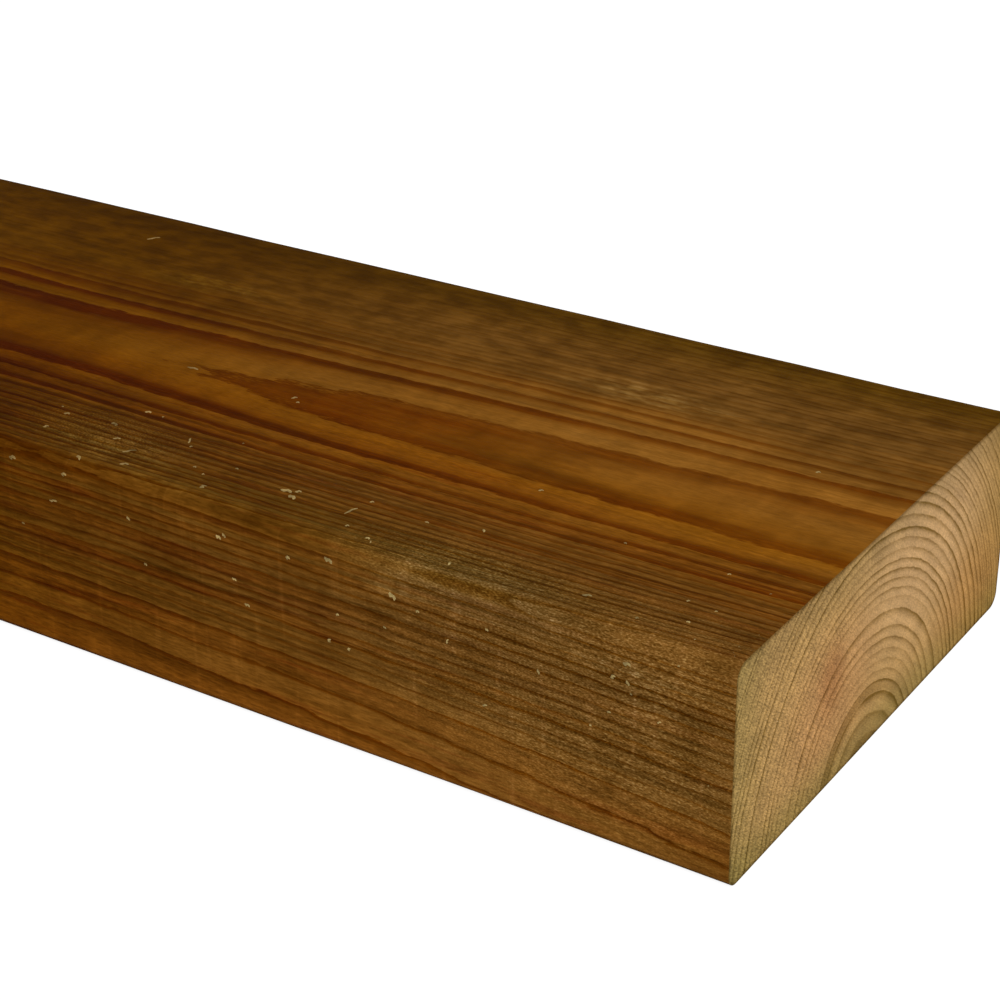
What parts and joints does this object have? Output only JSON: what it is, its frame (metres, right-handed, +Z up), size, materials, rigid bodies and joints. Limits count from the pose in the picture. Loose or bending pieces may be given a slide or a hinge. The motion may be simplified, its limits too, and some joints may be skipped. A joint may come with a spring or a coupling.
{
  "type": "timber stud",
  "caption": "Straight softwood framing stud, a long rectangular timber with eased arrises and square-cut ends, lying on its wide face.",
  "frame": {"origin": "centre of the underside, halfway along the stud", "axes": "+X along the grain, +Y across the wide face, +Z up through the thickness"},
  "size_m": [2.4, 0.12, 0.045],
  "materials": {
    "treated_softwood": "planed and preservative treated, brown with a green cast, with bare sawn ends"
  },
  "bodies": {
    "root": {"stud": "treated_softwood"}
  },
  "joints": []
}
